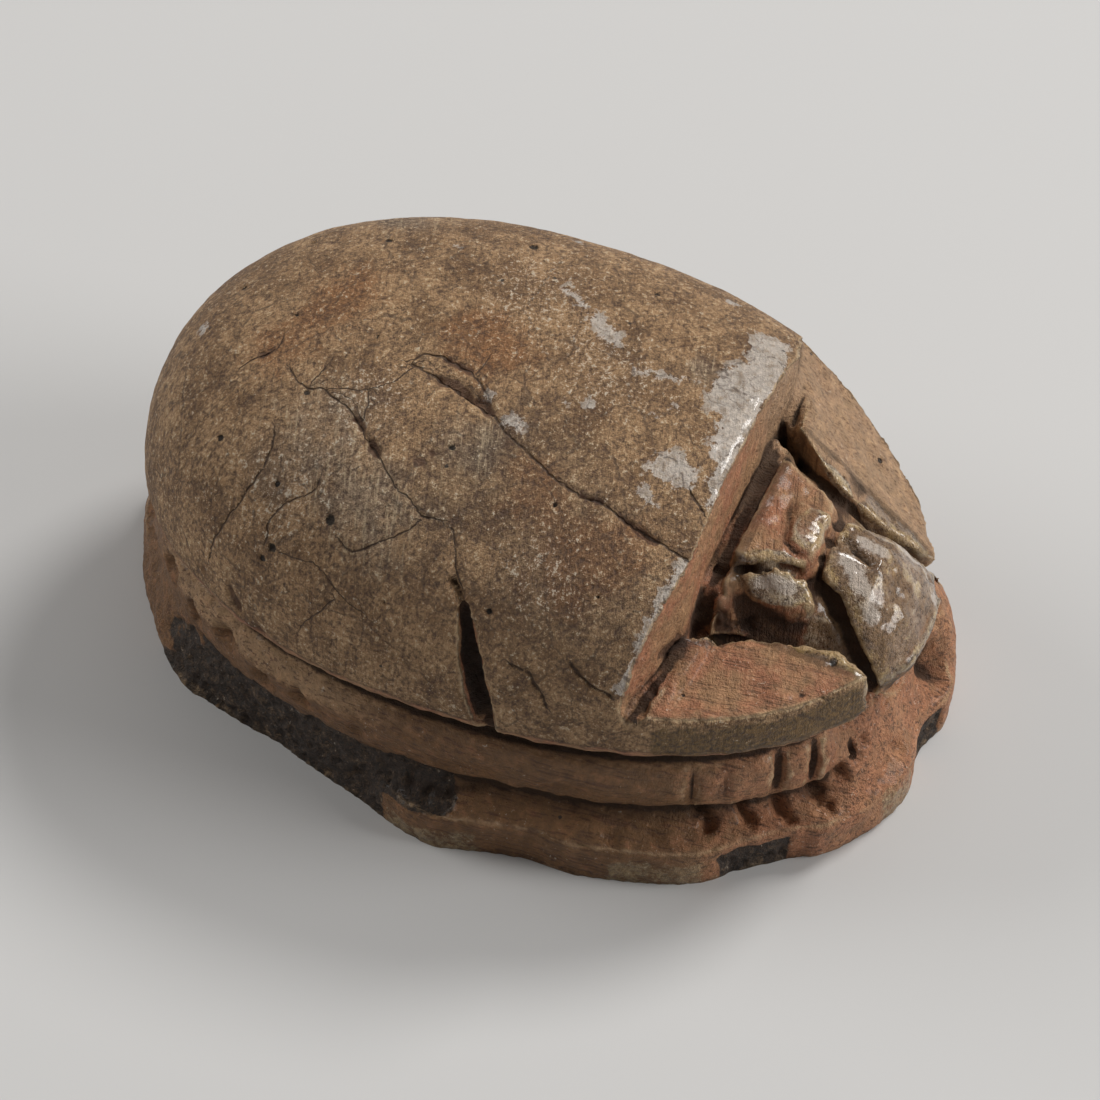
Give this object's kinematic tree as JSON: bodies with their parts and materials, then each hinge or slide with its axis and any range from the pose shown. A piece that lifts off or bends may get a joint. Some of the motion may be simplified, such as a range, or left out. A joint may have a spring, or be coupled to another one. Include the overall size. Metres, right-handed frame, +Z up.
{
  "type": "scarab amulet",
  "caption": "Carved scarab amulet of worn glazed steatite: smooth ridged back, schematic head, side plates and legs over a chipped oval base, pierced lengthwise",
  "frame": {"origin": "centre of the footprint on the ground, under the middle of the bounding box", "axes": "X across the beetle, the head looks along -Y, +Z up out of the back; the flat underside lies in Z = 0"},
  "size_m": [0.0136, 0.0196, 0.0095],
  "materials": {
    "steatite": "worn greenish glaze over tan steatite, dirt in the carving"
  },
  "bodies": {
    "root": {"scarab": "steatite"}
  },
  "joints": []
}
